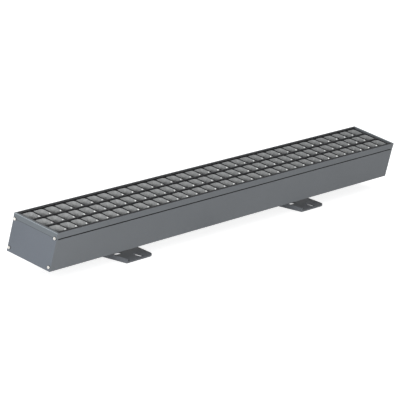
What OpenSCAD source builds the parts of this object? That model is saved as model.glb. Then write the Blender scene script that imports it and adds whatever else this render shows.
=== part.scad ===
/* [Lamp body] */
// Length of the lamp over the lower part of both end caps
lamp_l = 1000; // [600:10:1500]
// Depth of the aluminium section from front to back
lamp_w = 90; // [86:1:110]
// Height of the aluminium section
lamp_h = 66; // [64:1:90]
// Thickness of the side walls
wall_t = 2.4; // [2:0.1:2.8]
// Thickness of the floor beside the fixing channel
floor_t = 3; // [2.4:0.1:4]
// Thickness of the shelf that carries the light boards
shelf_t = 3; // [2:0.1:4]
// Radius of the two lower outside edges
edge_r = 0.8; // [0.3:0.1:1.5]
// Depth of the shadow groove below the top edge
groove_drop = 10.9; // [10.6:0.1:11.4]
// Height of the shadow groove
groove_w = 1.4; // [0.8:0.1:1.6]
// How far the shadow groove is cut into the wall
groove_d = 1; // [0.5:0.1:1.2]

/* [Fixing channel] */
// Width of the slot under the lamp
slot_w = 9; // [8:0.1:10]
// Thickness of the lips on each side of the slot
lip_t = 2.6; // [2:0.1:3]
// Inside width of the channel above the lips
channel_w = 17; // [16:0.1:20]
// Inside height of the channel above the lips
channel_h = 6; // [5.6:0.1:7]
// Thickness of the channel's sides and roof
channel_t = 2.2; // [1.8:0.1:3]

/* [End caps] */
// Thickness of an end cap
cap_t = 4; // [3.2:0.1:6]
// How far the upper band leans out at its top edge
band_flare = 1.2; // [0.6:0.1:1.6]
// How far the upper band stands proud at its lower edge
band_step = 0.3; // [0.1:0.1:0.5]
// Reach of the top flange into the lamp
flange_reach = 4.9; // [3:0.1:7]
// Drop of the top flange below the top edge
flange_drop = 1; // [0.4:0.1:1.4]
// Thickness of the end gasket
gasket_t = 1.2; // [0.8:0.1:1.8]
// Rim of the end cap left round the gasket
gasket_rim = 0.9; // [0.5:0.1:1.2]
// Shank radius of an end cap screw
screw_r = 1.5; // [1.2:0.05:1.6]
// Head radius of an end cap screw
screw_head_r = 2.5; // [2.2:0.1:2.8]
// Head height of an end cap screw
screw_head_h = 1.7; // [1.4:0.1:2.4]
// Length of an end cap screw under its head
screw_l = 14; // [10:1:24]
// Slit of the open screw bosses in the section
boss_slit = 1.4; // [1:0.1:1.8]
// Distance of a screw from the front or back face
screw_inset = 3.6; // [3.2:0.1:4]
// Height of the lower screws
screw_lift = 7.2; // [6:0.1:9]
// How far the upper screws sit above the shadow groove
screw_rise = 1.3; // [0.8:0.1:1.6]
// Metal round a screw hole in the section
boss_wall = 1.1; // [0.8:0.1:1.4]

/* [Louvre and optics] */
// Rows of cells
cell_rows = 3; // [2:1:4]
// Distance of the cell field from the front and back faces
field_side = 4.1; // [3.8:0.1:5]
// Distance of the cell field from the ends
field_end = 9.3; // [9:0.1:12]
// Width of the rails that run along the lamp between the rows
rail_w = 3; // [2.4:0.1:3.6]
// Thickness of the rails
rail_t = 2.2; // [1.8:0.1:2.6]
// Width of the thin bars across a row
bar_w = 1.6; // [1.2:0.1:3]
// Thickness of the thin bars
bar_t = 1.1; // [0.8:0.1:1.6]
// Corner radius of a cell at the top of its cup
cell_r = 5.8; // [4.8:0.1:7]
// Depth of the rails below the top edge
grid_recess = 0.4; // [0.2:0.1:1.4]
// Thickness of the louvre's rim, which lies in a rebate of the front and back walls
rim_t = 0.5; // [0.4:0.1:1.2]
// Lip of the front and back walls outside the rim
rim_lip = 1; // [0.8:0.1:1.4]
// How far a cup's walls lean in for each unit of its depth
cup_slope = 0.4; // [0.3:0.02:0.5]
// Wall of a reflector cup at its bottom
cup_wall = 1.4; // [1:0.1:1.8]
// Solid web left between two cups under their top edges
cup_web = 1.8; // [1.2:0.1:2.4]
// Thickness of the cover glass
glass_t = 4; // [3:0.5:5]
// Thickness of the seal under the glass
seal_t = 1.5; // [1:0.1:2]
// Width of the seal under the glass
seal_w = 4; // [3:0.5:5]
// Thickness of the ledge under the seal
ledge_t = 2; // [1.5:0.1:3]
// Clear height between the shelf and the glass ledge
optic_room = 10; // [8:0.5:12]
// Thickness of a light board
board_t = 1.6; // [1:0.1:2]
// Side of a light emitter
chip_w = 3.5; // [3:0.1:4]
// Top radius of a lens
lens_r = 10.4; // [8:0.1:11]

/* [Power supply and cable entry] */
// Length of the power supply
driver_l = 280; // [200:5:360]
// Width of the power supply
driver_w = 62; // [50:1:70]
// Height of the power supply
driver_h = 18; // [14:0.5:19]
// Radius of the cable bore in the gland
cable_r = 3.5; // [3:0.1:4]
// Radius of the gland's thread
gland_r = 6; // [5.5:0.1:6.5]
// Height of the gland above the lamp's underside
gland_lift = 22; // [21:0.5:23]
// Reach of the gland past the end cap
gland_reach = 24; // [20:0.5:30]

/* [Feet] */
// Distance between the same points of the two feet
foot_spacing = 517; // [300:1:540]
// Tilt of the lamp towards the front, as it stands
rest_tilt = 10; // [0:1:20]
// Height of the tilt axis above the ground
pivot_h = 15.5; // [15:0.1:20]
// Distance from the tilt axis up to the lamp's underside
pivot_drop = 13.7; // [13:0.1:20]
// Thickness of a foot
foot_t = 2.5; // [2:0.1:3]
// Greatest width of a foot along the lamp
foot_w = 92; // [86:0.5:110]
// Width of a foot at its front edge, before its corner is rounded
foot_front_w = 76; // [70:1:86]
// Reach of a foot in front of the tilt axis
foot_front = 51; // [46:1:60]
// Reach of a foot behind the tilt axis
foot_rear = 39; // [34:1:60]
// Lean of a foot's free side, which is wider at the back
foot_taper = 17; // [5:1:20]
// Radius of the front corner
foot_corner_r = 18; // [10:1:24]
// Radius of the rear corner
foot_rear_r = 12; // [6:1:20]
// Height of the side flange at the front edge
ear_front_h = 7; // [5:0.5:7.5]
// Height of the side flange a little behind the front edge
ear_knee_h = 8.2; // [6:0.1:8.6]
// Height of the side flange where it starts to rise to the eye
ear_mid_h = 8.6; // [7:0.1:9]
// Radius of the eye round the tilt bolt
eye_r = 11; // [9:0.5:12]
// Outside radius of the corner between plate and side flange
heel_r = 1.2; // [0.6:0.1:2.4]
// Width of the fixing slots in a foot
fix_w = 10; // [8:0.5:12]
// Length of the fixing slots in a foot
fix_l = 20; // [16:0.5:24]

/* [Slides] */
// Length of a bracket's clamping plate along the lamp
clamp_l = 44; // [40:1:60]
// Width of a bracket's clamping plate
clamp_w = 30; // [24:1:34]
// Thickness of a bracket
clamp_t = 3; // [2.5:0.1:3.5]
// Radius of a bracket's eye
clamp_eye_r = 9.5; // [8:0.1:10]
// Radius of the tilt bolt
pivot_r = 4; // [3:0.1:4.5]
// Radius of a clamping screw
slide_screw_r = 3; // [2.5:0.1:3.4]
// Length of a sliding nut along the lamp
slide_nut_l = 18; // [14:0.5:20]
// Thickness of a sliding nut
slide_nut_t = 4.6; // [4:0.1:5]

/* [Hidden] */
$fn = 48;

// One overrun for every cut, and the clearances that fits share
cut = 1;
fit = 0.15;
slip = 0.1;
run = 0.05;

// Heights in the lamp, from its underside, worked down from the top edge
inner_w = lamp_w - 2 * wall_t;
wall_top = lamp_h - rim_t - slip;
boss_r = screw_r + boss_wall;
band_z = lamp_h - groove_drop;
screw_heights = [screw_lift, band_z + screw_rise];
grid_top = lamp_h - grid_recess;
grid_base = grid_top - rail_t;
glass_top = screw_heights[1] - boss_r - 2 * fit;
glass_base = glass_top - glass_t;
cup_base = glass_top + fit;
ledge_top = glass_base - seal_t;
ledge_base = ledge_top - ledge_t;
shelf_top = ledge_base - optic_room;
board_top = shelf_top + board_t;
channel_roof = lip_t + channel_h + channel_t;
rib_t = 2;
rib_reach = 1.5;
ledge_reach = seal_w - fit;

// Cell field, with nearly square cells, their pitch kept to a round step so that arcs meet lines
pitch_step = 0.02;
row_pitch = pitch_step * round((lamp_w - 2 * field_side) / cell_rows / pitch_step);
cell_cols = round((lamp_l - 2 * field_end) / row_pitch);
col_pitch = pitch_step * round((lamp_l - 2 * field_end) / cell_cols / pitch_step);
field_w = row_pitch * cell_rows;
field_l = col_pitch * cell_cols;
rows = [for (i = [0 : cell_rows - 1]) (i + 0.5) * row_pitch - field_w / 2];
cols = [for (i = [0 : cell_cols - 1]) (i + 0.5) * col_pitch - field_l / 2];

// Height of the reflector cups, from the glass up to the louvre, and their narrowing over it
cup_depth = grid_base - slip - cup_base;
cup_taper = cup_slope * cup_depth;
cup_over = cup_slope * cut;

// Emitters, boards and their screws
chip_h = 1;
dome_r = 1.4;
lens_skirt_r = 5.4;
lens_skirt_h = 1.5;
lens_rim_h = 1.4;
lens_pocket_r = 2.9;
lens_pocket_h = 3.2;
lens_h = glass_base - board_top - 3 * fit;
board_gap = 1;
board_w = inner_w - 4 * fit;
board_l = (lamp_l - 2 * cap_t) / 2 - flange_reach - board_gap;
board_screw_r = 1.5;
board_screw_head_r = 2.7;
board_screw_head_h = 1.6;
board_screw_l = 4.2;
board_screw_step = 4;

// Power supply, terminal block and wires
driver_flange_l = 12;
driver_flange_t = 1.5;
driver_flange_share = 0.3;
driver_edge_r = 2;
driver_screw_r = 2;
driver_screw_head_r = 3.5;
driver_screw_head_h = 2.2;
driver_screw_l = 3;
supply_share = 0.015;
supply_start = -supply_share * lamp_l;
driver_x = supply_start + driver_l / 2;
terminal_l = 26;
terminal_w = 30;
terminal_h = 14;
terminal_x = driver_x + driver_l / 2 + driver_flange_l + 2 * terminal_l;
pole_pitch = 8;
pole_r = 2.4;
wire_r = 1.3;
wire_lift = 5;
wire_bend_r = 4;
wire_out = 9;
wire_hole_r = 2.2;

// Gland and vent, on the right end cap
gland_hex_r = 9;
gland_hex_l = 5;
gland_collar_r = 7.2;
gland_collar_l = 7;
gland_tail = 7;
lock_nut_r = 9.2;
lock_nut_t = 3;
dome_nut_r = 8.6;
dome_mouth_r = 6.2;
dome_grip_l = 11;
seal_ring_w = 0.9;
vent_r = 6;
vent_h = 4;
vent_thread_r = 4;
vent_tail = 3;
vent_slit_w = 1;
vent_slit_d = 1.2;
vent_slits = 6;
vent_y = lamp_w * 0.28;

// Feet and slides, along the lamp from the outer face of the side flange
foot_x = [-(foot_spacing + foot_w) / 2, (foot_spacing - foot_w) / 2];
washer_t = 1;
washer_r = 8.5;
bracket_x = foot_t + slip + washer_t;
nut_t = 6.5;
nut_across = 13;
head_h = 5.3;
bolt_spare = 2;
nut_hex_r = nut_across / 2 / cos(30);
slide_screw_x = [bracket_x + clamp_l * 0.27, bracket_x + clamp_l * 0.77];
slide_head_across = 10;
slide_head_h = 4;
slide_hex_r = slide_head_across / 2 / cos(30);
slide_nut_w = channel_w - 4 * fit;
slide_screw_end = lip_t + slide_nut_t + slip;

// Fixing slots of a foot, measured from its side flange and its front edge
long_slot_x = 31.2;
long_slot_y = 43.2;
cross_slot_x = 51.4;
cross_slot_y = 15.2;
ear_knee_y = 15;
ear_rise_y = 20;
ear_rear_h = 6;

// The part's origin is under the middle of its outline, on the ground
front_y = -lamp_w / 2 * cos(rest_tilt) - (pivot_drop + lamp_h) * sin(rest_tilt);
rear_y = (lamp_w / 2 - edge_r) * cos(rest_tilt) - (pivot_drop + edge_r) * sin(rest_tilt) + edge_r;
origin_x = -(gland_reach - screw_head_h) / 2;
origin_y = -(front_y + rear_y) / 2;

// Places its children in the lamp: origin under the middle of the underside
module in_lamp() {
    translate([origin_x, origin_y, pivot_h])
        rotate([rest_tilt, 0, 0])
            translate([0, 0, pivot_drop])
                children();
}

// Places its children at one foot: origin on the ground under the tilt axis
module at_foot(side) {
    translate([origin_x + foot_x[side], origin_y, 0])
        children();
}

// Places its children at one bracket in the lamp
module at_bracket(side) {
    in_lamp()
        translate([foot_x[side], 0, 0])
            children();
}

// Places its children at every cell
module at_cells() {
    for (y = rows)
        for (x = cols)
            translate([x, y])
                children();
}

// Extrudes a front-to-back and height outline along the lamp, centred
module along_lamp(length) {
    translate([-length / 2, 0, 0])
        rotate([90, 0, 90])
            linear_extrude(length)
                children();
}

// Cylinder along the lamp, from x upwards
module rod_x(r, x, length) {
    translate([x, 0, 0])
        rotate([0, 90, 0])
            cylinder(r = r, h = length);
}

// Hexagonal prism along the lamp, with a flat at the top
module hex_x(r, x, length) {
    translate([x, 0, 0])
        rotate([0, 90, 0])
            rotate([0, 0, 30])
                cylinder(r = r, h = length, $fn = 6);
}

// Rectangle with round corners, centred
module round_rect(size_x, size_y, r) {
    square([size_x - 2 * r, size_y], center = true);
    square([size_x, size_y - 2 * r], center = true);
    for (x = [-1, 1])
        for (y = [-1, 1])
            translate([x * (size_x / 2 - r), y * (size_y / 2 - r)])
                circle(r = r);
}

// Slot outline, centred, along x
module slot_outline(length, width) {
    square([length - width, width], center = true);
    for (x = [-1, 1])
        translate([x * (length - width) / 2, 0])
            circle(r = width / 2);
}

// Point where a line from p touches the circle round c on its left or right
function touch(p, c, r, hand) =
    let (d = norm(c - p), a = atan2(c[1] - p[1], c[0] - p[0]) + hand * asin(r / d))
        p + sqrt(d * d - r * r) * [cos(a), sin(a)];

// Outside outline of the section, with its two lower edges rounded
module lamp_outline() {
    translate([-lamp_w / 2, edge_r])
        square([lamp_w, lamp_h - edge_r]);
    translate([-lamp_w / 2 + edge_r, 0])
        square([lamp_w - 2 * edge_r, 2 * edge_r]);
    for (side = [-1, 1])
        translate([side * (lamp_w / 2 - edge_r), edge_r])
            circle(r = edge_r);
}

// The four screw places of an end, in the section
module at_screws() {
    for (side = [-1, 1])
        for (z = screw_heights)
            translate([side * (lamp_w / 2 - screw_inset), z])
                children();
}

module section() {
    difference() {
        union() {
            difference() {
                lamp_outline();
                translate([-inner_w / 2, floor_t])
                    square([inner_w, shelf_top - shelf_t - floor_t]);
                translate([-inner_w / 2, shelf_top])
                    square([inner_w, lamp_h]);
            }
            translate([-channel_w / 2 - channel_t, 0])
                square([channel_w + 2 * channel_t, channel_roof]);
            at_screws()
                circle(r = boss_r);
            for (side = [0, 1])
                mirror([side, 0]) {
                    translate([inner_w / 2 - ledge_reach, ledge_base])
                        square([ledge_reach + wall_t / 2, ledge_t]);
                    translate([inner_w / 2 - rib_reach, grid_base - rib_t])
                        square([rib_reach + wall_t / 2, rib_t]);
                }
        }
        translate([rim_lip - lamp_w / 2, wall_top])
            square([lamp_w - 2 * rim_lip, rim_t + slip + cut]);
        translate([-channel_w / 2, lip_t])
            square([channel_w, channel_h]);
        translate([-slot_w / 2, -cut])
            square([slot_w, lip_t + 2 * cut]);
        at_screws()
            circle(r = screw_r);
        for (side = [0, 1])
            for (z = screw_heights)
                mirror([side, 0])
                    translate([lamp_w / 2 - screw_inset - boss_r - cut, z - boss_slit / 2])
                        square([boss_r + cut, boss_slit]);
        for (side = [-1, 1])
            translate([side * lamp_w / 2, band_z])
                square([2 * groove_d, groove_w], center = true);
    }
}

module housing() {
    color([0.43, 0.45, 0.46])
        in_lamp()
            difference() {
                along_lamp(lamp_l - 2 * cap_t)
                    section();
                at_board_screws()
                    translate([0, 0, shelf_top - shelf_t - cut])
                        cylinder(r = board_screw_r, h = shelf_t + 2 * cut);
                at_driver_screws()
                    translate([0, 0, channel_roof - channel_t - cut])
                        cylinder(r = driver_screw_r, h = channel_t + 2 * cut);
                translate([supply_start - wire_out, 0, shelf_top - shelf_t - cut])
                    wire_pair()
                        cylinder(r = wire_hole_r, h = shelf_t + 2 * cut);
            }
}

// Outline of an end cap from the side: its face leans out above the upper screws' centres
module cap_side() {
    crease = screw_heights[1];
    polygon([
        [0, 0], [0, crease], [-band_step, crease], [-band_flare, lamp_h],
        [cap_t, lamp_h], [cap_t, 0]
    ]);
}

// Left end cap, with its outer face at zero and the lamp on its right
module cap_body() {
    difference() {
        union() {
            intersection() {
                translate([0, lamp_w / 2, 0])
                    rotate([90, 0, 0])
                        linear_extrude(lamp_w)
                            cap_side();
                translate([cap_t / 2, 0, 0])
                    along_lamp(2 * lamp_w)
                        lamp_outline();
            }
            translate([cap_t - fit, -inner_w / 2 + fit, grid_base + slip])
                cube([flange_reach + fit, inner_w - 2 * fit, lamp_h - flange_drop - grid_base - slip]);
        }
        translate([cap_t - gasket_t, 0, 0])
            rotate([90, 0, 90])
                linear_extrude(gasket_t + cut)
                    gasket_outline(0);
        rotate([90, 0, 90])
            translate([0, 0, -cut])
                linear_extrude(cap_t + 2 * cut)
                    at_screws()
                        circle(r = screw_r + run);
        translate([-band_flare - cut, 0, 0])
            rotate([90, 0, 90])
                linear_extrude(band_flare + cut)
                    at_screws()
                        circle(r = screw_head_r + fit);
    }
}

// Outside of the gasket, or of its pocket, drawn in by the given amount
module gasket_outline(inset) {
    low = gasket_rim + inset;
    high = grid_base - ledge_t;
    half = lamp_w / 2 - gasket_rim - inset;
    translate([-half, low])
        square([2 * half, high - low - inset]);
}

module gasket_sheet() {
    rotate([90, 0, 90])
        linear_extrude(gasket_t)
            difference() {
                gasket_outline(run);
                at_screws()
                    circle(r = screw_r + run);
                translate([0, (floor_t + shelf_top - shelf_t) / 2 + boss_r])
                    round_rect(inner_w - 4 * boss_r, shelf_top - shelf_t - floor_t - 4 * boss_r, boss_r);
                translate([0, (shelf_top + ledge_base) / 2])
                    round_rect(inner_w - 4 * boss_r, optic_room - boss_r, boss_r);
            }
}

// One screw with its head to the left, a hexagon socket in the head
module cap_screw() {
    difference() {
        union() {
            rod_x(screw_head_r, -screw_head_h, screw_head_h);
            rod_x(screw_r - run, 0, screw_l);
        }
        hex_x(screw_r * 0.8, -screw_head_h - cut, screw_head_h * 0.6 + cut);
    }
}

module cap_screws() {
    for (side = [-1, 1])
        for (z = screw_heights)
            translate([0, side * (lamp_w / 2 - screw_inset), z])
                cap_screw();
}

// Places children made for the left end at the left or the right end
module at_end(right) {
    in_lamp()
        mirror([right, 0, 0])
            translate([-lamp_l / 2, 0, 0])
                children();
}

module end_cap_left() {
    color([0.47, 0.5, 0.53])
        at_end(0)
            cap_body();
}

module end_cap_right() {
    color([0.47, 0.5, 0.53])
        in_lamp()
            difference() {
                mirror([1, 0, 0])
                    translate([-lamp_l / 2, 0, 0])
                        cap_body();
                at_gland()
                    rod_x(gland_r + run, -cap_t - cut, cap_t + 2 * cut);
                at_vent()
                    rod_x(vent_thread_r + run, -cap_t - cut, cap_t + 2 * cut);
            }
}

module end_gasket_left() {
    color([0.1, 0.1, 0.1])
        at_end(0)
            translate([cap_t - gasket_t, 0, 0])
                gasket_sheet();
}

module end_gasket_right() {
    color([0.1, 0.1, 0.1])
        at_end(1)
            translate([cap_t - gasket_t, 0, 0])
                gasket_sheet();
}

module end_cap_screws_left() {
    color([0.8, 0.8, 0.78])
        at_end(0)
            cap_screws();
}

module end_cap_screws_right() {
    color([0.8, 0.8, 0.78])
        at_end(1)
            cap_screws();
}

// The black louvre: deep rails along the lamp, thin bars across it, and a rim in the walls' rebate
module louvre_grid() {
    grid_l = lamp_l - 2 * (cap_t + flange_reach + fit);
    grid_w = inner_w - 2 * fit;
    rim_l = lamp_l - 2 * (cap_t + fit);
    rim_w = lamp_w - 2 * (rim_lip + fit);
    gap_w = field_w - rail_w;
    color([0.05, 0.05, 0.055])
        in_lamp()
            translate([0, 0, grid_base]) {
                linear_extrude(rail_t)
                    difference() {
                        square([grid_l, grid_w], center = true);
                        for (y = rows)
                            translate([0, y])
                                square([grid_l + 2 * cut, row_pitch - rail_w], center = true);
                    }
                linear_extrude(bar_t)
                    difference() {
                        square([grid_l, grid_w], center = true);
                        at_cells()
                            round_rect(col_pitch - bar_w, row_pitch - rail_w, cell_r);
                    }
                for (side = [0, 1])
                    mirror([0, side, 0]) {
                        translate([-grid_l / 2, gap_w / 2, 0])
                            cube([grid_l, (grid_w - gap_w) / 2, lamp_h - grid_base]);
                        translate([-rim_l / 2, gap_w / 2, wall_top + slip - grid_base])
                            cube([rim_l, (rim_w - gap_w) / 2, rim_t]);
                    }
            }
}

// Side of a cup's hollow with the given half width at its top, run past both its ends
module cup_profile(top_half) {
    floor_half = top_half - cup_taper;
    polygon([
        [cup_over - floor_half, -cut], [floor_half - cup_over, -cut],
        [top_half + cup_over, cup_depth + cut], [-top_half - cup_over, cup_depth + cut]
    ]);
}

// Hollow of one cup: leaning walls, with a tapered round in each corner
module cup_hollow() {
    x = (col_pitch - bar_w) / 2;
    y = (row_pitch - rail_w) / 2;
    low_r = cell_r - cup_taper - cup_over;
    along_lamp(2 * (x - cell_r))
        cup_profile(y);
    rotate([0, 0, 90])
        along_lamp(2 * (y - cell_r))
            cup_profile(x);
    for (side = [-1, 1])
        for (end = [-1, 1])
            translate([side * (x - cell_r), end * (y - cell_r), -cut])
                cylinder(r1 = low_r, r2 = cell_r + cup_over, h = cup_depth + 2 * cut);
}

// A strip of cups: a bar with leaning sides, hollowed by the cups and cut by a vee between them
module reflector_strip(row) {
    base_half = (row_pitch - rail_w) / 2 - cup_taper + cup_wall;
    vee_half = bar_w / 2 + cup_taper - cup_wall;
    color([0.56, 0.57, 0.57])
        in_lamp()
            translate([0, rows[row], cup_base])
                difference() {
                    along_lamp(field_l)
                        polygon([
                            [-base_half, 0], [base_half, 0],
                            [row_pitch / 2 - fit, cup_depth], [-row_pitch / 2 + fit, cup_depth]
                        ]);
                    for (x = cols)
                        translate([x, 0, 0])
                            cup_hollow();
                    rotate([90, 0, 0])
                        translate([0, 0, -row_pitch])
                            linear_extrude(2 * row_pitch)
                                for (i = [1 : cell_cols - 1])
                                    translate([i * col_pitch - field_l / 2, 0])
                                        polygon([
                                            [-vee_half, -cut], [vee_half, -cut],
                                            [0, cup_depth - cup_web]
                                        ]);
                }
}

module reflector_row_front() {
    reflector_strip(0);
}

module reflector_row_middle() {
    reflector_strip(1);
}

module reflector_row_back() {
    reflector_strip(cell_rows - 1);
}

module cover_glass() {
    color([0.8, 0.88, 0.86, 0.4])
        in_lamp()
            translate([0, 0, glass_base])
                linear_extrude(glass_t)
                    square([lamp_l - 2 * cap_t - 2 * fit, inner_w - 4 * fit], center = true);
}

module glass_seal() {
    seal_l = lamp_l - 2 * cap_t - 2 * fit;
    color([0.1, 0.1, 0.1])
        in_lamp()
            translate([0, 0, ledge_top])
                linear_extrude(seal_t)
                    difference() {
                        square([seal_l, inner_w - 2 * fit], center = true);
                        square([seal_l - 2 * seal_w, inner_w - 2 * seal_w], center = true);
                    }
}

// One lens, standing on the board over its emitter
module lens() {
    rotate_extrude()
        polygon([
            [0, lens_pocket_h], [lens_pocket_r, lens_pocket_h], [lens_pocket_r, 0],
            [lens_skirt_r, 0], [lens_skirt_r, lens_skirt_h],
            [lens_r, lens_h - lens_rim_h], [lens_r, lens_h], [0, lens_h]
        ]);
}

// The lenses stand in the seal's opening, and a rim that would reach the seal is trimmed flat
module lenses() {
    opening_l = lamp_l - 2 * cap_t - 2 * (seal_w + fit);
    opening_w = inner_w - 2 * (seal_w + fit);
    color([0.9, 0.92, 0.94, 0.5])
        in_lamp()
            intersection() {
                for (y = rows)
                    for (x = cols)
                        translate([x, y, board_top])
                            lens();
                translate([-opening_l / 2, -opening_w / 2, board_top - cut])
                    cube([opening_l, opening_w, lens_h + 2 * cut]);
            }
}

module light_boards() {
    color([0.92, 0.92, 0.9])
        in_lamp()
            difference() {
                translate([0, 0, shelf_top])
                    for (side = [-1, 1])
                        translate([side * (board_gap + board_l) / 2, 0, board_t / 2])
                            cube([board_l, board_w, board_t], center = true);
                at_board_screws()
                    translate([0, 0, shelf_top - cut])
                        cylinder(r = board_screw_r + run, h = board_t + 2 * cut);
                translate([supply_start - wire_out, 0, shelf_top - cut])
                    wire_pair()
                        cylinder(r = wire_r + run, h = board_t + 2 * cut);
            }
}

module light_chips() {
    color([0.95, 0.85, 0.35])
        in_lamp()
            for (y = rows)
                for (x = cols)
                    translate([x, y, board_top]) {
                        translate([0, 0, chip_h / 2])
                            cube([chip_w, chip_w, chip_h], center = true);
                        intersection() {
                            translate([0, 0, chip_h])
                                sphere(r = dome_r);
                            translate([0, 0, chip_h / 2])
                                cylinder(r = 2 * dome_r, h = 2 * dome_r);
                        }
                    }
}

// Board screws stand where four cells meet, every few columns
module at_board_screws() {
    row_gaps = [for (i = [1 : cell_rows - 1]) i * row_pitch - field_w / 2];
    for (y = [row_gaps[0], row_gaps[len(row_gaps) - 1]])
        for (i = [2 : board_screw_step : cell_cols - 2])
            translate([i * col_pitch - field_l / 2, y, 0])
                children();
}

module board_screws() {
    color([0.75, 0.75, 0.73])
        in_lamp()
            at_board_screws() {
                translate([0, 0, board_top])
                    cylinder(r = board_screw_head_r, h = board_screw_head_h);
                translate([0, 0, board_top - board_screw_l])
                    cylinder(r = board_screw_r - run, h = board_screw_l + board_screw_head_h / 2);
            }
}

// Screw places at the two ends of the power supply
module at_driver_screws() {
    for (side = [-1, 1])
        translate([driver_x + side * (driver_l + driver_flange_l) / 2, 0, 0])
            children();
}

module power_supply() {
    color([0.75, 0.76, 0.78])
        in_lamp()
            difference() {
                translate([driver_x, 0, channel_roof]) {
                    linear_extrude(driver_h)
                        round_rect(driver_l, driver_w, driver_edge_r);
                    linear_extrude(driver_flange_t)
                        round_rect(driver_l + 2 * driver_flange_l,
                            driver_w * driver_flange_share, driver_edge_r);
                }
                at_driver_screws()
                    translate([0, 0, channel_roof - cut])
                        cylinder(r = driver_screw_r + run, h = driver_flange_t + 2 * cut);
            }
}

module power_supply_screws() {
    seat = channel_roof + driver_flange_t;
    color([0.75, 0.75, 0.73])
        in_lamp()
            at_driver_screws() {
                translate([0, 0, seat])
                    cylinder(r = driver_screw_head_r, h = driver_screw_head_h);
                translate([0, 0, seat - driver_screw_l])
                    cylinder(r = driver_screw_r - run, h = driver_screw_l + driver_screw_head_h / 2);
            }
}

// The three poles of the terminal block, side by side
module at_poles() {
    for (i = [-1, 0, 1])
        translate([0, i * pole_pitch, 0])
            children();
}

module terminal_block() {
    color([0.9, 0.9, 0.86])
        in_lamp()
            translate([terminal_x, 0, channel_roof])
                difference() {
                    translate([-terminal_l / 2, -terminal_w / 2, 0])
                        cube([terminal_l, terminal_w, terminal_h]);
                    at_poles() {
                        translate([0, 0, wire_lift])
                            rod_x(wire_r + run, -terminal_l / 2 - cut, terminal_l / 2);
                        for (side = [-1, 1])
                            translate([side * terminal_l / 4, 0, wire_lift + 2 * pole_r])
                                cylinder(r = pole_r, h = terminal_h);
                    }
                }
}

module supply_wires() {
    start = driver_x + driver_l / 2;
    finish = terminal_x - terminal_l / 4;
    color([0.35, 0.25, 0.2])
        in_lamp()
            translate([0, 0, channel_roof + wire_lift])
                at_poles()
                    rod_x(wire_r, start, finish - start);
}

module wire_pair() {
    for (i = [-1, 1])
        translate([0, i * pole_pitch / 2, 0])
            children();
}

// Two leads out of the supply's far end, round a bend and up to the boards
module output_wires() {
    lift = channel_roof + driver_h - wire_lift;
    rise = board_top - lift - wire_bend_r;
    color([0.6, 0.15, 0.12])
        in_lamp()
            translate([supply_start, 0, lift])
                wire_pair() {
                    rod_x(wire_r, wire_bend_r - wire_out, wire_out - wire_bend_r);
                    translate([wire_bend_r - wire_out, 0, wire_bend_r])
                        rotate([90, 0, 0])
                            rotate([0, 0, 180])
                                rotate_extrude(angle = 90)
                                    translate([wire_bend_r, 0])
                                        circle(r = wire_r);
                    translate([-wire_out, 0, wire_bend_r])
                        cylinder(r = wire_r, h = rise);
                }
}

// The gland's axis at the right end cap's outer face
module at_gland() {
    translate([lamp_l / 2, 0, gland_lift])
        children();
}

module at_vent() {
    translate([lamp_l / 2, vent_y, gland_lift])
        children();
}

module cable_gland() {
    tail_x = -cap_t - gland_tail;
    color([0.14, 0.14, 0.15])
        in_lamp()
            at_gland()
                difference() {
                    union() {
                        hex_x(gland_hex_r, 0, gland_hex_l);
                        rod_x(gland_collar_r, gland_hex_l - slip, gland_collar_l);
                        rod_x(gland_r - run, tail_x, slip - tail_x);
                    }
                    rod_x(cable_r, tail_x - cut, gland_reach - tail_x);
                    rod_x(cable_r + seal_ring_w, gland_hex_l, gland_reach);
                }
}

module gland_lock_nut() {
    color([0.14, 0.14, 0.15])
        in_lamp()
            at_gland()
                translate([gasket_t - cap_t - lock_nut_t, 0, 0])
                    difference() {
                        hex_x(lock_nut_r, 0, lock_nut_t);
                        rod_x(gland_r, -cut, lock_nut_t + 2 * cut);
                    }
}

module gland_seal() {
    color([0.2, 0.2, 0.2])
        in_lamp()
            at_gland()
                difference() {
                    rod_x(cable_r + seal_ring_w - run, gland_hex_l, gland_collar_l);
                    rod_x(cable_r, gland_hex_l - cut, gland_collar_l + 2 * cut);
                }
}

module gland_dome_nut() {
    grip_x = gland_hex_l + slip;
    color([0.14, 0.14, 0.15])
        in_lamp()
            at_gland()
                difference() {
                    union() {
                        hex_x(dome_nut_r, grip_x, dome_grip_l);
                        rotate([0, 90, 0])
                            translate([0, 0, grip_x + dome_grip_l - slip])
                                cylinder(r1 = dome_nut_r * cos(30), r2 = dome_mouth_r,
                                    h = gland_reach - grip_x - dome_grip_l + slip);
                    }
                    rod_x(gland_collar_r + run, grip_x - cut, gland_collar_l + cut);
                    rod_x(cable_r + fit, grip_x, gland_reach);
                }
}

module vent_plug() {
    color([0.14, 0.14, 0.15])
        in_lamp()
            at_vent()
                difference() {
                    union() {
                        rod_x(vent_r, 0, vent_h);
                        rod_x(vent_thread_r - run, -cap_t - vent_tail, cap_t + vent_tail + slip);
                    }
                    for (i = [0 : vent_slits - 1])
                        rotate([i * 360 / vent_slits, 0, 0])
                            translate([vent_h / 4, -vent_slit_w / 2, vent_r - vent_slit_d])
                                cube([vent_h / 2, vent_slit_w, 2 * vent_slit_d]);
                }
}

module slide_nuts(side) {
    color([0.7, 0.7, 0.68])
        at_bracket(side)
            for (x = slide_screw_x)
                translate([x, 0, lip_t + slip])
                    difference() {
                        translate([-slide_nut_l / 2, -slide_nut_w / 2, 0])
                            cube([slide_nut_l, slide_nut_w, slide_nut_t]);
                        translate([0, 0, -cut])
                            cylinder(r = slide_screw_r, h = slide_nut_t + 2 * cut);
                    }
}

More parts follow.
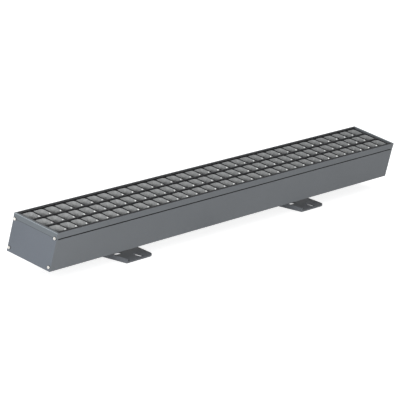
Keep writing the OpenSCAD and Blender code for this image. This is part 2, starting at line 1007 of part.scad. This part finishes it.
module slide_screws(side) {
    under = -slip - clamp_t;
    color([0.7, 0.7, 0.68])
        at_bracket(side)
            for (x = slide_screw_x)
                translate([x, 0, under]) {
                    translate([0, 0, -slide_head_h])
                        cylinder(r = slide_hex_r, h = slide_head_h, $fn = 6);
                    translate([0, 0, -slide_head_h / 2])
                        cylinder(r = slide_screw_r - run, h = slide_screw_end - under + slide_head_h / 2);
                }
}

// Eye plate of a bracket, in front-to-back and height, under the clamping plate
module bracket_eye() {
    base = -slip - clamp_t / 2;
    axis = [0, -pivot_drop];
    corner = [clamp_w / 2, base];
    right = touch(corner, axis, clamp_eye_r, 1);
    left = [-right[0], right[1]];
    polygon([[-clamp_w / 2, base], left, axis, right, corner]);
    translate(axis)
        circle(r = clamp_eye_r);
}

module bracket(side) {
    color([0.36, 0.38, 0.39])
        at_bracket(side)
            difference() {
                union() {
                    translate([bracket_x, -clamp_w / 2, -slip - clamp_t])
                        cube([clamp_l, clamp_w, clamp_t]);
                    translate([bracket_x, 0, 0])
                        rotate([90, 0, 90])
                            linear_extrude(clamp_t)
                                bracket_eye();
                }
                translate([0, 0, -pivot_drop])
                    rod_x(pivot_r + run, bracket_x - cut, clamp_t + 2 * cut);
                for (x = slide_screw_x)
                    translate([x, 0, -slip - clamp_t - cut])
                        cylinder(r = slide_screw_r + run, h = clamp_t + 2 * cut);
            }
}

// Places its children on the tilt axis of one bracket
module on_axis(side) {
    at_bracket(side)
        translate([0, 0, -pivot_drop])
            children();
}

module tilt_washer(side) {
    color([0.75, 0.75, 0.73])
        on_axis(side)
            difference() {
                rod_x(washer_r, foot_t + slip, washer_t);
                rod_x(pivot_r + run, foot_t + slip - cut, washer_t + 2 * cut);
            }
}

module tilt_bolt(side) {
    color([0.75, 0.75, 0.73])
        on_axis(side) {
            hex_x(nut_hex_r, -slip - head_h, head_h);
            rod_x(pivot_r, -slip - head_h / 2, slip + head_h / 2 + bracket_x + clamp_t + nut_t + bolt_spare);
        }
}

module tilt_nut(side) {
    seat = bracket_x + clamp_t;
    color([0.75, 0.75, 0.73])
        on_axis(side)
            difference() {
                hex_x(nut_hex_r, seat, nut_t);
                rod_x(pivot_r + run, seat - cut, nut_t + 2 * cut);
            }
}

// Plan of a foot: straight front, leaning free side, two round corners
module foot_plan() {
    reach = foot_corner_r / tan((90 + foot_taper) / 2);
    lean = [sin(foot_taper), cos(foot_taper)];
    front = [foot_front_w, -foot_front];
    widest = (foot_w - foot_front_w) / tan(foot_taper) - foot_front;
    polygon([
        [0, -foot_front], front - [reach, 0], front + reach * lean, [foot_w, widest],
        [foot_w, foot_rear - foot_rear_r], [foot_w - foot_rear_r, foot_rear], [0, foot_rear]
    ]);
    translate(front + [-reach, foot_corner_r])
        circle(r = foot_corner_r);
    translate([foot_w - foot_rear_r, foot_rear - foot_rear_r])
        circle(r = foot_rear_r);
}

// Side flange of a foot in front-to-back and height, rising to the eye
module ear_plan() {
    axis = [0, pivot_h];
    rise = [-ear_rise_y, ear_mid_h];
    fall = [foot_rear, ear_rear_h];
    polygon([
        [-foot_front, 0], [-foot_front, ear_front_h], [ear_knee_y - foot_front, ear_knee_h], rise,
        touch(rise, axis, eye_r, 1), axis, touch(fall, axis, eye_r, -1), fall, [foot_rear, 0]
    ]);
    translate(axis)
        circle(r = eye_r);
}

// Angle section of a foot: flange up, plate to the right, round at its outside corner
module angle_section() {
    tall = pivot_h + 2 * eye_r;
    translate([heel_r, 0])
        square([foot_w - heel_r, tall]);
    translate([0, heel_r])
        square([foot_w, tall - heel_r]);
    translate([heel_r, heel_r])
        circle(r = heel_r);
}

module foot(side) {
    color([0.29, 0.31, 0.32])
        at_foot(side)
            difference() {
                intersection() {
                    union() {
                        linear_extrude(foot_t)
                            foot_plan();
                        rotate([90, 0, 90])
                            linear_extrude(foot_t)
                                ear_plan();
                    }
                    translate([0, foot_rear + cut, 0])
                        rotate([90, 0, 0])
                            linear_extrude(foot_front + foot_rear + 2 * cut)
                                angle_section();
                }
                translate([long_slot_x, long_slot_y - foot_front, -cut])
                    linear_extrude(foot_t + 2 * cut)
                        slot_outline(fix_l, fix_w);
                translate([cross_slot_x, cross_slot_y - foot_front, -cut])
                    rotate([0, 0, 90])
                        linear_extrude(foot_t + 2 * cut)
                            slot_outline(fix_l, fix_w);
                translate([0, 0, pivot_h])
                    rod_x(pivot_r + run, -cut, foot_t + 2 * cut);
            }
}

module slide_nuts_left() { slide_nuts(0); }
module slide_nuts_right() { slide_nuts(1); }
module slide_screws_left() { slide_screws(0); }
module slide_screws_right() { slide_screws(1); }
module bracket_left() { bracket(0); }
module bracket_right() { bracket(1); }
module tilt_washer_left() { tilt_washer(0); }
module tilt_washer_right() { tilt_washer(1); }
module tilt_bolt_left() { tilt_bolt(0); }
module tilt_bolt_right() { tilt_bolt(1); }
module tilt_nut_left() { tilt_nut(0); }
module tilt_nut_right() { tilt_nut(1); }
module foot_left() { foot(0); }
module foot_right() { foot(1); }

housing();
end_cap_left();
end_cap_right();
end_gasket_left();
end_gasket_right();
end_cap_screws_left();
end_cap_screws_right();
louvre_grid();
reflector_row_front();
reflector_row_middle();
reflector_row_back();
cover_glass();
glass_seal();
lenses();
light_boards();
light_chips();
board_screws();
power_supply();
power_supply_screws();
terminal_block();
supply_wires();
output_wires();
cable_gland();
gland_lock_nut();
gland_seal();
gland_dome_nut();
vent_plug();
slide_nuts_left();
slide_nuts_right();
slide_screws_left();
slide_screws_right();
bracket_left();
bracket_right();
tilt_washer_left();
tilt_washer_right();
tilt_bolt_left();
tilt_bolt_right();
tilt_nut_left();
tilt_nut_right();
foot_left();
foot_right();
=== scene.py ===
import math

import bmesh
import bpy
from mathutils import Matrix, Vector


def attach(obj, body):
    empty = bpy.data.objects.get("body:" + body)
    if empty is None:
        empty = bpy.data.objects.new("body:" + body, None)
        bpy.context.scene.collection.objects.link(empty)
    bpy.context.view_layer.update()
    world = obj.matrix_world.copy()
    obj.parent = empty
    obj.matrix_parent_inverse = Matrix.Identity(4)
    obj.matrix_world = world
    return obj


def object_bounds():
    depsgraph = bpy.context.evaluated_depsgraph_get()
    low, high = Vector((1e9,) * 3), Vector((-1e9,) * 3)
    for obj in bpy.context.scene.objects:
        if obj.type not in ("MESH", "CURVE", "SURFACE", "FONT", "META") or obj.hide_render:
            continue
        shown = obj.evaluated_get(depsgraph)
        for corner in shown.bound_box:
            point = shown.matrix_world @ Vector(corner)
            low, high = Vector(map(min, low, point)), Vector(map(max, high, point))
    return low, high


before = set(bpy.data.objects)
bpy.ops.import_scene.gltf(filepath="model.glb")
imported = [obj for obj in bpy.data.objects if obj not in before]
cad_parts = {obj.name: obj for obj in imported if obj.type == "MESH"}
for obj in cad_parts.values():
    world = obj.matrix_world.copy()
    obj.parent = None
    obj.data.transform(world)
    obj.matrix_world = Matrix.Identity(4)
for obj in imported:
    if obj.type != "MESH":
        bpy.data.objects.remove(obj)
cad_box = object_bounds()

MM = 0.001

# The lamp in its own frame, in millimetres: x runs along it and y across it, both from its
# middle, and z up from its underside
LAMP_L = 1000.0
LAMP_W = 90.0
LAMP_H = 66.0
CAP_T = 4.0
GROOVE_Z = 55.1
GROOVE_W = 1.4
SCREW_INSET = 3.6
SCREW_HEIGHTS = (7.2, 56.4)
SCREW_HEAD_R = 2.5
CELL_PITCH = 27.26
CELL_ROWS = 3
CELL_COLS = 36
BAR_W = 1.6
CUP_TOP = 63.3
CUP_SLOPE = 0.4

# Where the side flange of each foot starts along the lamp, and its thickness
EAR_X = (-304.5, 212.5)
EAR_T = 2.5

# The lamp stands tilted about the feet's bolts, which lie under it by the drop
REST_TILT = math.radians(10)
PIVOT = Vector((-11.15, 8.17275, 15.5))
PIVOT_DROP = 13.7
LAMP_PLACE = (
    Matrix.Scale(MM, 4)
    @ Matrix.Translation(PIVOT)
    @ Matrix.Rotation(REST_TILT, 4, "X")
    @ Matrix.Translation((0, 0, PIVOT_DROP))
)

# The camera at the photograph's angle, solved from the lamp's corners
CAMERA_AT = Vector((-3580.3, -2427.0, 1141.4)) * MM
CAMERA_RIGHT = Vector((0.581360, -0.810174, 0.075087))
CAMERA_DOWN = Vector((-0.157987, -0.202930, -0.966364))
CAMERA_LOOK = Vector((0.798161, 0.549943, -0.245973))
SENSOR_W = 36.0
LENS = 232.54
CLIP_END = 100.0

# Colours of paint, plastic, metal and wires, as linear values
PAINT = (0.136, 0.146, 0.156)
CAP_PAINT = (0.160, 0.177, 0.202)
BAND_PAINT = (0.168, 0.187, 0.202)
FOOT_PAINT = (0.117, 0.124, 0.135)
BLACK = (0.008, 0.008, 0.009)
SATIN = (0.32, 0.325, 0.325)
BROWN = (0.1, 0.05, 0.03)
RED = (0.4, 0.03, 0.02)
WHITE = (1.0, 1.0, 1.0)

# Sockets of a colour mix node, by number, because its other kinds use the same names
MIX_A = 6
MIX_B = 7
MIX_RESULT = 2

# The middle of a noise's values, and the span that holds most of them
NOISE_MIDDLE = 0.5
NOISE_LOW = 0.3
NOISE_HIGH = 0.7


def put(name, data):
    """A new object in the scene that holds the given data."""
    thing = bpy.data.objects.new(name, data)
    bpy.context.scene.collection.objects.link(thing)
    return thing


def place_camera():
    data = bpy.data.cameras.new("camera")
    data.sensor_width = SENSOR_W
    data.lens = LENS
    data.clip_end = CLIP_END
    cam = put("camera", data)
    turn = Matrix((CAMERA_RIGHT, -CAMERA_DOWN, -CAMERA_LOOK)).transposed().to_4x4()
    cam.matrix_world = Matrix.Translation(CAMERA_AT) @ turn
    bpy.context.scene.camera = cam


def shade_of(colour, factor):
    return tuple(min(1.0, channel * factor) for channel in colour)


class Shade:
    """One procedural material: a principled shader and the nodes that feed it."""

    def __init__(self, name):
        self.material = bpy.data.materials.new(name)
        self.material.use_nodes = True
        self.tree = self.material.node_tree
        self.shader = self.tree.nodes["Principled BSDF"]
        self.coords = self.add("ShaderNodeTexCoord").outputs["Object"]
        self.tone = None

    def add(self, kind, **settings):
        node = self.tree.nodes.new(kind)
        for key, value in settings.items():
            setattr(node, key, value)
        return node

    def link(self, source, target):
        self.tree.links.new(source, target)

    def set(self, **values):
        """Set the shader's own sockets, named with underscores for spaces."""
        for key, value in values.items():
            self.shader.inputs[key.replace("_", " ")].default_value = value
        return self

    def value(self, socket, source):
        if isinstance(source, (int, float)):
            socket.default_value = source
        else:
            self.link(source, socket)

    def math(self, operation, a, b=0.0, clamp=False):
        node = self.add("ShaderNodeMath", operation=operation, use_clamp=clamp)
        self.value(node.inputs[0], a)
        self.value(node.inputs[1], b)
        return node.outputs[0]

    def between(self, source, low, high):
        above = self.math("GREATER_THAN", source, low)
        below = self.math("LESS_THAN", source, high)
        return self.math("MULTIPLY", above, below)

    def noise(self, per_mm, detail=3.0, rough=0.5, stretch=None):
        """Noise with about per_mm features to a millimetre, or less along a stretched axis."""
        vector = self.coords
        if stretch:
            scale = self.add("ShaderNodeVectorMath", operation="MULTIPLY")
            self.link(vector, scale.inputs[0])
            scale.inputs[1].default_value = stretch
            vector = scale.outputs[0]
        node = self.add("ShaderNodeTexNoise")
        self.link(vector, node.inputs["Vector"])
        node.inputs["Scale"].default_value = per_mm / MM
        node.inputs["Detail"].default_value = detail
        node.inputs["Roughness"].default_value = rough
        return node.outputs["Fac"]

    def spread(self, source, low=0.0, high=1.0, start=NOISE_LOW, end=NOISE_HIGH):
        """Map the source's values from start to end onto low to high."""
        node = self.add("ShaderNodeMapRange")
        self.link(source, node.inputs["Value"])
        node.inputs["From Min"].default_value = start
        node.inputs["From Max"].default_value = end
        node.inputs["To Min"].default_value = low
        node.inputs["To Max"].default_value = high
        return node.outputs["Result"]

    def mix(self, factor, a, b):
        node = self.add("ShaderNodeMix", data_type="RGBA")
        self.value(node.inputs[0], factor)
        for index, colour in ((MIX_A, a), (MIX_B, b)):
            if isinstance(colour, tuple):
                node.inputs[index].default_value = (*colour, 1.0)
            else:
                self.link(colour, node.inputs[index])
        return node.outputs[MIX_RESULT]

    def colour(self, source):
        """Use this colour, and keep it for what is painted over it."""
        self.tone = source
        self.link(source, self.shader.inputs["Base Color"])

    def paint_over(self, mask, colour):
        self.colour(self.mix(mask, self.tone, colour))

    def gloss(self, source, low, high):
        """Let the roughness follow the source, from low to high."""
        self.link(self.spread(source, low, high), self.shader.inputs["Roughness"])

    def bump(self, height, depth_mm, strength):
        node = self.add("ShaderNodeBump")
        node.inputs["Distance"].default_value = depth_mm * MM
        node.inputs["Strength"].default_value = strength
        self.link(height, node.inputs["Height"])
        self.link(node.outputs["Normal"], self.shader.inputs["Normal"])

    def lamp_axes(self):
        """The point's place in the lamp's own frame, in millimetres."""
        move = self.add("ShaderNodeVectorMath", operation="SUBTRACT")
        self.link(self.coords, move.inputs[0])
        move.inputs[1].default_value = PIVOT * MM
        turned = self.add("ShaderNodeVectorRotate", rotation_type="X_AXIS", invert=True)
        self.link(move.outputs[0], turned.inputs["Vector"])
        turned.inputs["Angle"].default_value = REST_TILT
        scale = self.add("ShaderNodeVectorMath", operation="SCALE")
        self.link(turned.outputs[0], scale.inputs[0])
        scale.inputs["Scale"].default_value = 1 / MM
        split = self.add("ShaderNodeSeparateXYZ")
        self.link(scale.outputs[0], split.inputs[0])
        height = self.math("SUBTRACT", split.outputs[2], PIVOT_DROP)
        return split.outputs[0], split.outputs[1], height


# Powder coat: gloss of the paint, tones of its slow clouds and its specks, and its orange peel
COAT_SPECULAR = 0.2
COAT_ROUGH = (0.42, 0.52)
CLOUDS_PER_MM = 0.012
CLOUD_TONES = (0.96, 1.04)
SPECK_TONE = 0.86
SPECK_SHARE = 0.35
PEEL_STRENGTH = 0.6


def powder_coat(name, colour, grain, peel_mm):
    """Sprayed and baked paint: faint cloudiness, fine orange peel and uneven gloss."""
    shade = Shade(name).set(Specular_IOR_Level=COAT_SPECULAR)
    cloud = shade.noise(CLOUDS_PER_MM, detail=4.0)
    speck = shade.noise(grain, detail=2.0)
    dark, light = (shade_of(colour, tone) for tone in CLOUD_TONES)
    shade.colour(shade.mix(shade.spread(cloud), dark, light))
    shade.paint_over(shade.spread(speck, high=SPECK_SHARE), shade_of(colour, SPECK_TONE))
    shade.gloss(speck, *COAT_ROUGH)
    shade.bump(shade.noise(grain, detail=3.0), peel_mm, PEEL_STRENGTH)
    return shade


# Housing: how far the painted shade of the groove reaches past its edges, the width of the lip
# outside the louvre that keeps the plain paint, and the tones of the painted shade in the
# groove and gap
GROOVE_SHADE_MARGIN = 0.35
UNSHADED_LIP = 0.8
GROOVE_SHADE_TONE = 0.05
GAP_SHADE_TONE = 0.06


def body_paint():
    """Housing paint, with painted shade, nearly black, in the shadow groove and in the gap
    round the louvre.
    """
    shade = powder_coat("body_paint", PAINT, grain=1.6, peel_mm=0.02)
    _, across, up = shade.lamp_axes()
    # Painted shade: the groove, and a little past its edges, is painted nearly black
    reach = GROOVE_W / 2 + GROOVE_SHADE_MARGIN
    groove_shade = shade.between(up, GROOVE_Z - reach, GROOVE_Z + reach)
    shade.paint_over(groove_shade, shade_of(PAINT, GROOVE_SHADE_TONE))
    # Painted shade: the housing inside the lip and above the groove is painted nearly black
    inner = LAMP_W / 2 - UNSHADED_LIP
    between_lips = shade.between(across, -inner, inner)
    gap_shade = shade.math("MULTIPLY", between_lips, shade.math("GREATER_THAN", up, GROOVE_Z))
    shade.paint_over(gap_shade, shade_of(PAINT, GAP_SHADE_TONE))
    return shade


# End cap: how deep a face counts as an outer one, reach of the painted shade in the crease
# below and above the upper screws, how far down and out the painted highlight on the top edge
# starts, and width of the rings of painted shade round the screws
FACE_SKIN = 0.05
CREASE_BELOW = 0.5
CREASE_ABOVE = 0.4
EDGE_H = 0.8
EDGE_OUT = 0.4
RING_W = 0.7
CREASE_SHADE_TONE = 0.55
TOP_TONE = 0.6
EDGE_HIGHLIGHT_TONE = 2.0
RING_SHADE_TONE = 0.3
FLANGE_SHADE_TONE = 0.35


def screw_shade_rings(shade, from_middle, up):
    """Mask of the discs under and round the four screw heads of an end cap, where shade is
    painted.
    """
    aside = shade.math("SUBTRACT", from_middle, LAMP_W / 2 - SCREW_INSET)
    aside_squared = shade.math("MULTIPLY", aside, aside)
    rings = 0.0
    for height in SCREW_HEIGHTS:
        above = shade.math("SUBTRACT", up, height)
        above_squared = shade.math("MULTIPLY", above, above)
        away = shade.math("SQRT", shade.math("ADD", aside_squared, above_squared))
        near = shade.math("LESS_THAN", away, SCREW_HEAD_R + RING_W)
        rings = shade.math("ADD", rings, near, clamp=True)
    return rings


def cap_paint():
    """End cap paint: lighter leaning band, dark top, a painted highlight on the top edge, and
    painted shade in the crease, round the screws and on the flange.
    """
    shade = powder_coat("cap_paint", CAP_PAINT, grain=1.2, peel_mm=0.03)
    along, across, up = shade.lamp_axes()
    far_along = shade.math("ABSOLUTE", along)
    far_across = shade.math("ABSOLUTE", across)
    crease = SCREW_HEIGHTS[1]
    shade.paint_over(shade.math("GREATER_THAN", up, crease), BAND_PAINT)
    shade.paint_over(shade.math("GREATER_THAN", far_across, LAMP_W / 2 - FACE_SKIN), PAINT)
    # Painted shade: a darker line along the crease under the leaning band
    crease_shade = shade.between(up, crease - CREASE_BELOW, crease + CREASE_ABOVE)
    shade.paint_over(crease_shade, shade_of(BAND_PAINT, CREASE_SHADE_TONE))
    on_top = shade.math("GREATER_THAN", up, LAMP_H - FACE_SKIN)
    shade.paint_over(on_top, shade_of(BAND_PAINT, TOP_TONE))
    # Painted highlight: the outer top edge of the leaning band is painted bright
    near_top = shade.math("GREATER_THAN", up, LAMP_H - EDGE_H)
    leaning_out = shade.math("GREATER_THAN", far_along, LAMP_L / 2 + EDGE_OUT)
    edge_highlight = shade.math("MULTIPLY", near_top, leaning_out)
    shade.paint_over(edge_highlight, shade_of(BAND_PAINT, EDGE_HIGHLIGHT_TONE))
    # Painted shade: darker rings under and round the screw heads
    shade.paint_over(screw_shade_rings(shade, far_across, up), shade_of(BAND_PAINT, RING_SHADE_TONE))
    # Painted shade: the recessed flange inside the cap, beside the louvre, is painted dark
    flange_shade = shade.math("LESS_THAN", far_along, LAMP_L / 2 - CAP_T)
    shade.paint_over(flange_shade, shade_of(PAINT, FLANGE_SHADE_TONE))
    return shade


# The feet's side flanges, painted lighter than their plates as painted light, and the brackets,
# darker than the feet
EAR_LIGHT_TONE = 1.32
EAR_MARGIN = 0.1
BRACKET_TONE = 0.8


def foot_paint():
    shade = powder_coat("foot_paint", FOOT_PAINT, grain=1.0, peel_mm=0.03)
    along = shade.lamp_axes()[0]
    # Painted light: the side flanges are painted lighter, as if lit
    lit_ears = [shade.between(along, x - EAR_MARGIN, x + EAR_T + EAR_MARGIN) for x in EAR_X]
    shade.paint_over(shade.math("ADD", *lit_ears), shade_of(FOOT_PAINT, EAR_LIGHT_TONE))
    return shade


def bracket_paint():
    colour = shade_of(FOOT_PAINT, BRACKET_TONE)
    return powder_coat("bracket_paint", colour, grain=1.0, peel_mm=0.03)


# Reflector cups: tones of the mottle, tone and share of the painted shade, and the depths under
# the louvre from which and to which it grows, which wander by up to half the patch depth
MOTTLE_TONES = (0.84, 1.1)
DEEP_SHADE_TONE = 0.2
DEEP_SHADE_SHARE = 0.55
SHADE_FROM = 5.0
SHADE_TO = 8.5
PATCH_DEPTH = 5.0


def reflector_satin():
    """Mottled satin metal, bright under the louvre, with painted shade that darkens it towards
    the lenses.
    """
    shade = Shade("reflector_satin").set(Roughness=0.7, Specular_IOR_Level=0.25)
    mottle = shade.noise(per_mm=0.55, rough=0.6)
    patch = shade.math("SUBTRACT", shade.noise(per_mm=0.3), NOISE_MIDDLE)
    sunk = shade.math("SUBTRACT", CUP_TOP, shade.lamp_axes()[2])
    depth = shade.math("ADD", sunk, shade.math("MULTIPLY", patch, PATCH_DEPTH))
    dark, light = (shade_of(SATIN, tone) for tone in MOTTLE_TONES)
    shade.colour(shade.mix(shade.spread(mottle), dark, light))
    # Painted shade: the cups are painted darker the deeper they lie under the louvre
    deep_shade = shade.spread(depth, high=DEEP_SHADE_SHARE, start=SHADE_FROM, end=SHADE_TO)
    shade.paint_over(deep_shade, shade_of(SATIN, DEEP_SHADE_TONE))
    shade.bump(mottle, depth_mm=0.08, strength=0.5)
    return shade


def two_tone(name, dark, light, per_mm, **settings):
    """A material whose colour drifts between two tones, per_mm times in a millimetre."""
    shade = Shade(name).set(**settings)
    shade.colour(shade.mix(shade.spread(shade.noise(per_mm)), dark, light))
    return shade


# The lighter tone of the louvre, and both tones of the wires' sleeves
LOUVRE_TONE = 1.5
SLEEVE_TONES = (0.9, 1.1)


def louvre_plastic():
    shade = two_tone(
        "louvre_plastic", dark=BLACK, light=shade_of(BLACK, LOUVRE_TONE), per_mm=0.3,
        Roughness=0.6, Specular_IOR_Level=0.15,
    )
    shade.bump(shade.noise(per_mm=2.5, detail=2.0), depth_mm=0.02, strength=0.5)
    return shade


def tempered_glass():
    return two_tone(
        "tempered_glass", dark=(0.93, 0.97, 0.95), light=(0.96, 0.985, 0.975), per_mm=0.01,
        Roughness=0.02, IOR=1.5, Transmission_Weight=1.0,
    )


def lens_plastic():
    return two_tone(
        "lens_plastic", dark=(0.86, 0.89, 0.92), light=(0.94, 0.95, 0.96), per_mm=0.2,
        Roughness=0.06, IOR=1.49, Transmission_Weight=0.9,
    )


def seal_rubber():
    shade = two_tone(
        "seal_rubber", dark=(0.015, 0.015, 0.016), light=(0.03, 0.03, 0.031), per_mm=1.5,
        Roughness=0.75,
    )
    shade.bump(shade.noise(per_mm=2.0), depth_mm=0.03, strength=0.6)
    return shade


def board_mask():
    return two_tone(
        "board_mask", dark=(0.74, 0.74, 0.71), light=(0.82, 0.82, 0.79), per_mm=0.15,
        Roughness=0.3,
    )


def emitter_phosphor():
    return two_tone(
        "emitter_phosphor", dark=(0.78, 0.6, 0.12), light=(0.86, 0.72, 0.2), per_mm=1.0,
        Roughness=0.25,
    )


def gland_nylon():
    shade = two_tone(
        "gland_nylon", dark=(0.018, 0.018, 0.02), light=(0.032, 0.032, 0.035), per_mm=0.8,
        Roughness=0.48,
    )
    shade.bump(shade.noise(per_mm=3.0), depth_mm=0.02, strength=0.5)
    return shade


def terminal_plastic():
    return two_tone(
        "terminal_plastic", dark=(0.72, 0.71, 0.66), light=(0.8, 0.79, 0.74), per_mm=0.5,
        Roughness=0.4,
    )


def wire_sleeve(name, colour):
    dark, light = (shade_of(colour, tone) for tone in SLEEVE_TONES)
    return two_tone(name, dark=dark, light=light, per_mm=0.7, Roughness=0.35)


def drawn_metal(name, lines, dark, light, rough):
    """Bare metal whose colour and gloss follow the given noise; it returns that noise too."""
    shade = Shade(name).set(Metallic=1.0)
    streaks = shade.noise(**lines)
    shade.colour(shade.mix(shade.spread(streaks), dark, light))
    shade.gloss(streaks, *rough)
    return shade, streaks


def bright_steel():
    shade, streaks = drawn_metal(
        "bright_steel", lines={"per_mm": 2.2, "detail": 4.0, "stretch": (0.15, 1.0, 1.0)},
        dark=(0.52, 0.505, 0.475), light=(0.78, 0.765, 0.73), rough=(0.16, 0.32),
    )
    shade.bump(streaks, depth_mm=0.01, strength=0.4)
    return shade


def supply_case():
    shade, _ = drawn_metal(
        "supply_case", lines={"per_mm": 1.0, "stretch": (0.05, 1.0, 1.0)},
        dark=(0.5, 0.51, 0.52), light=(0.64, 0.65, 0.66), rough=(0.3, 0.45),
    )
    return shade


def stud_polished():
    shade = two_tone(
        "stud_polished", dark=(0.74, 0.74, 0.73), light=(0.84, 0.84, 0.83), per_mm=1.5,
        Metallic=1.0,
    )
    shade.gloss(shade.noise(per_mm=3.0), low=0.3, high=0.4)
    return shade


# Steel pieces that the light has on its left and on its right
STEEL_PAIRS = (
    "end_cap_screws", "slide_nuts", "slide_screws", "tilt_washer", "tilt_bolt", "tilt_nut",
)


def looks():
    """The material of each CAD node."""
    cap = cap_paint()
    foot = foot_paint()
    bracket = bracket_paint()
    satin = reflector_satin()
    rubber = seal_rubber()
    steel = bright_steel()
    nylon = gland_nylon()
    by_node = {
        "housing": body_paint(),
        "louvre_grid": louvre_plastic(),
        "reflector_row_front": satin,
        "reflector_row_middle": satin,
        "reflector_row_back": satin,
        "cover_glass": tempered_glass(),
        "glass_seal": rubber,
        "lenses": lens_plastic(),
        "light_boards": board_mask(),
        "light_chips": emitter_phosphor(),
        "board_screws": steel,
        "power_supply": supply_case(),
        "power_supply_screws": steel,
        "terminal_block": terminal_plastic(),
        "supply_wires": wire_sleeve("sleeve_brown", BROWN),
        "output_wires": wire_sleeve("sleeve_red", RED),
        "cable_gland": nylon,
        "gland_lock_nut": nylon,
        "gland_seal": rubber,
        "gland_dome_nut": nylon,
        "vent_plug": nylon,
    }
    for side in ("_left", "_right"):
        by_node["end_cap" + side] = cap
        by_node["end_gasket" + side] = rubber
        by_node["bracket" + side] = bracket
        by_node["foot" + side] = foot
        for piece in STEEL_PAIRS:
            by_node[piece + side] = steel
    return by_node


# The bright spot that the photograph shows in each cell but the last column's, made as a stud:
# half its outline, as pairs of radius and height over the cup's wall, and its place in a cell
STUD = [(1.6, -0.2), (1.6, 0.3), (1.46, 0.48), (1.05, 0.6), (0.5, 0.67), (0.0, 0.7)]
STUD_STEPS = 14
STUD_FROM_FRONT = 9.5
STUD_Z = 61.9


def lathe(shape, place, profile, steps):
    """Turn a profile of (radius, height) pairs about the z axis of the given matrix."""
    angles = [2 * math.pi * step / steps for step in range(steps)]
    rings = []
    for radius, height in profile:
        if radius == 0:
            points = [(0, 0, height)]
        else:
            points = [
                (radius * math.cos(angle), radius * math.sin(angle), height) for angle in angles
            ]
        rings.append([shape.verts.new(place @ Vector(point)) for point in points])
    for low, high in zip(rings, rings[1:]):
        for here in range(steps):
            after = (here + 1) % steps
            if len(high) == 1:
                shape.faces.new((low[here], low[after], high[0]))
            else:
                shape.faces.new((low[here], low[after], high[after], high[here]))


def stud_mesh():
    """All studs, each square to the leaning right wall of its cup."""
    upright_to_wall = Matrix.Rotation(math.atan(CUP_SLOPE) - math.pi / 2, 4, "Y")
    inset = BAR_W / 2 + CUP_SLOPE * (CUP_TOP - STUD_Z)
    shape = bmesh.new()
    for row in range(CELL_ROWS):
        for col in range(CELL_COLS - 1):
            x = (col + 1 - CELL_COLS / 2) * CELL_PITCH - inset
            y = (row - CELL_ROWS / 2) * CELL_PITCH + STUD_FROM_FRONT
            place = Matrix.Translation((x, y, STUD_Z)) @ upright_to_wall
            lathe(shape, place, STUD, STUD_STEPS)
    for vertex in shape.verts:
        vertex.co = LAMP_PLACE @ vertex.co
    bmesh.ops.recalc_face_normals(shape, faces=shape.faces)
    mesh = bpy.data.meshes.new("cell_studs")
    shape.to_mesh(mesh)
    shape.free()
    for face in mesh.polygons:
        face.use_smooth = True
    mesh.materials.append(stud_polished().material)
    return mesh


def shown_rays(tree):
    """1 for the rays that show a background: from the camera, off gloss or through glass."""
    path = tree.nodes.new("ShaderNodeLightPath")
    shown = path.outputs["Is Camera Ray"]
    for kind in ("Is Glossy Ray", "Is Transmission Ray"):
        node = tree.nodes.new("ShaderNodeMath")
        node.operation = "MAXIMUM"
        tree.links.new(shown, node.inputs[0])
        tree.links.new(path.outputs[kind], node.inputs[1])
        shown = node.outputs[0]
    return shown


# Floor just under the feet: its size and gap in metres, and the glow that makes it look white
FLOOR_SIZE = 60.0
FLOOR_GAP = 0.0005
FLOOR_GLOW = 0.76


def floor_pale():
    """A pale floor that takes shadows, with a glow that only shown rays see."""
    shade = two_tone(
        "floor_pale", dark=(0.62, 0.62, 0.62), light=(0.63, 0.63, 0.63), per_mm=0.002,
        Roughness=0.9, Specular_IOR_Level=0.0,
    )
    glow = shade.add("ShaderNodeEmission")
    glow.inputs["Color"].default_value = (*WHITE, 1.0)
    strength = shade.math("MULTIPLY", shown_rays(shade.tree), FLOOR_GLOW)
    shade.link(strength, glow.inputs["Strength"])
    both = shade.add("ShaderNodeAddShader")
    shade.link(shade.shader.outputs[0], both.inputs[0])
    shade.link(glow.outputs[0], both.inputs[1])
    shade.link(both.outputs[0], shade.tree.nodes["Material Output"].inputs["Surface"])
    return shade


def floor_mesh():
    mesh = bpy.data.meshes.new("floor")
    half = FLOOR_SIZE / 2
    corners = [(-half, -half, 0), (half, -half, 0), (half, half, 0), (-half, half, 0)]
    mesh.from_pydata(corners, [], [(0, 1, 2, 3)])
    mesh.materials.append(floor_pale().material)
    return mesh


# The world's colour, and its strength as light and as the white background
SKY = (0.97, 0.985, 1.0, 1)
SKY_LIGHT = 0.62
SKY_SHOWN = 1.0


def make_world():
    world = bpy.data.worlds.new("studio")
    bpy.context.scene.world = world
    world.use_nodes = True
    tree = world.node_tree
    sky = tree.nodes["Background"]
    sky.inputs["Color"].default_value = SKY
    level = tree.nodes.new("ShaderNodeMapRange")
    level.inputs["To Min"].default_value = SKY_LIGHT
    level.inputs["To Max"].default_value = SKY_SHOWN
    tree.links.new(shown_rays(tree), level.inputs["Value"])
    tree.links.new(level.outputs["Result"], sky.inputs["Strength"])


def softbox(name, at, size, watts):
    """A round soft light, at a place in metres, that faces the lamp."""
    data = bpy.data.lights.new(name, "AREA")
    data.shape = "DISK"
    data.size = size
    data.energy = watts
    light = put(name, data)
    light.location = at
    light.rotation_mode = "QUATERNION"
    light.rotation_quaternion = (-Vector(at)).to_track_quat("-Z", "Y")


place_camera()

look_of = looks()
for name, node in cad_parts.items():
    node.data.materials.clear()
    node.data.materials.append(look_of[name].material)

studs = put("cell_studs", stud_mesh())
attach(studs, "lamp")

floor = put("floor", floor_mesh())
floor.location.z = cad_box[0].z - FLOOR_GAP

make_world()
softbox("overhead", at=(0.2, -0.6, 3.4), size=2.4, watts=6)
softbox("key", at=(-1.8, -2.9, 0.9), size=1.4, watts=40)
softbox("side", at=(-1.8, -0.6, 0.46), size=0.5, watts=9.5)
softbox("fill", at=(1.4, 1.8, 2.2), size=1.0, watts=10)

view = bpy.context.scene.view_settings
view.view_transform = "Standard"
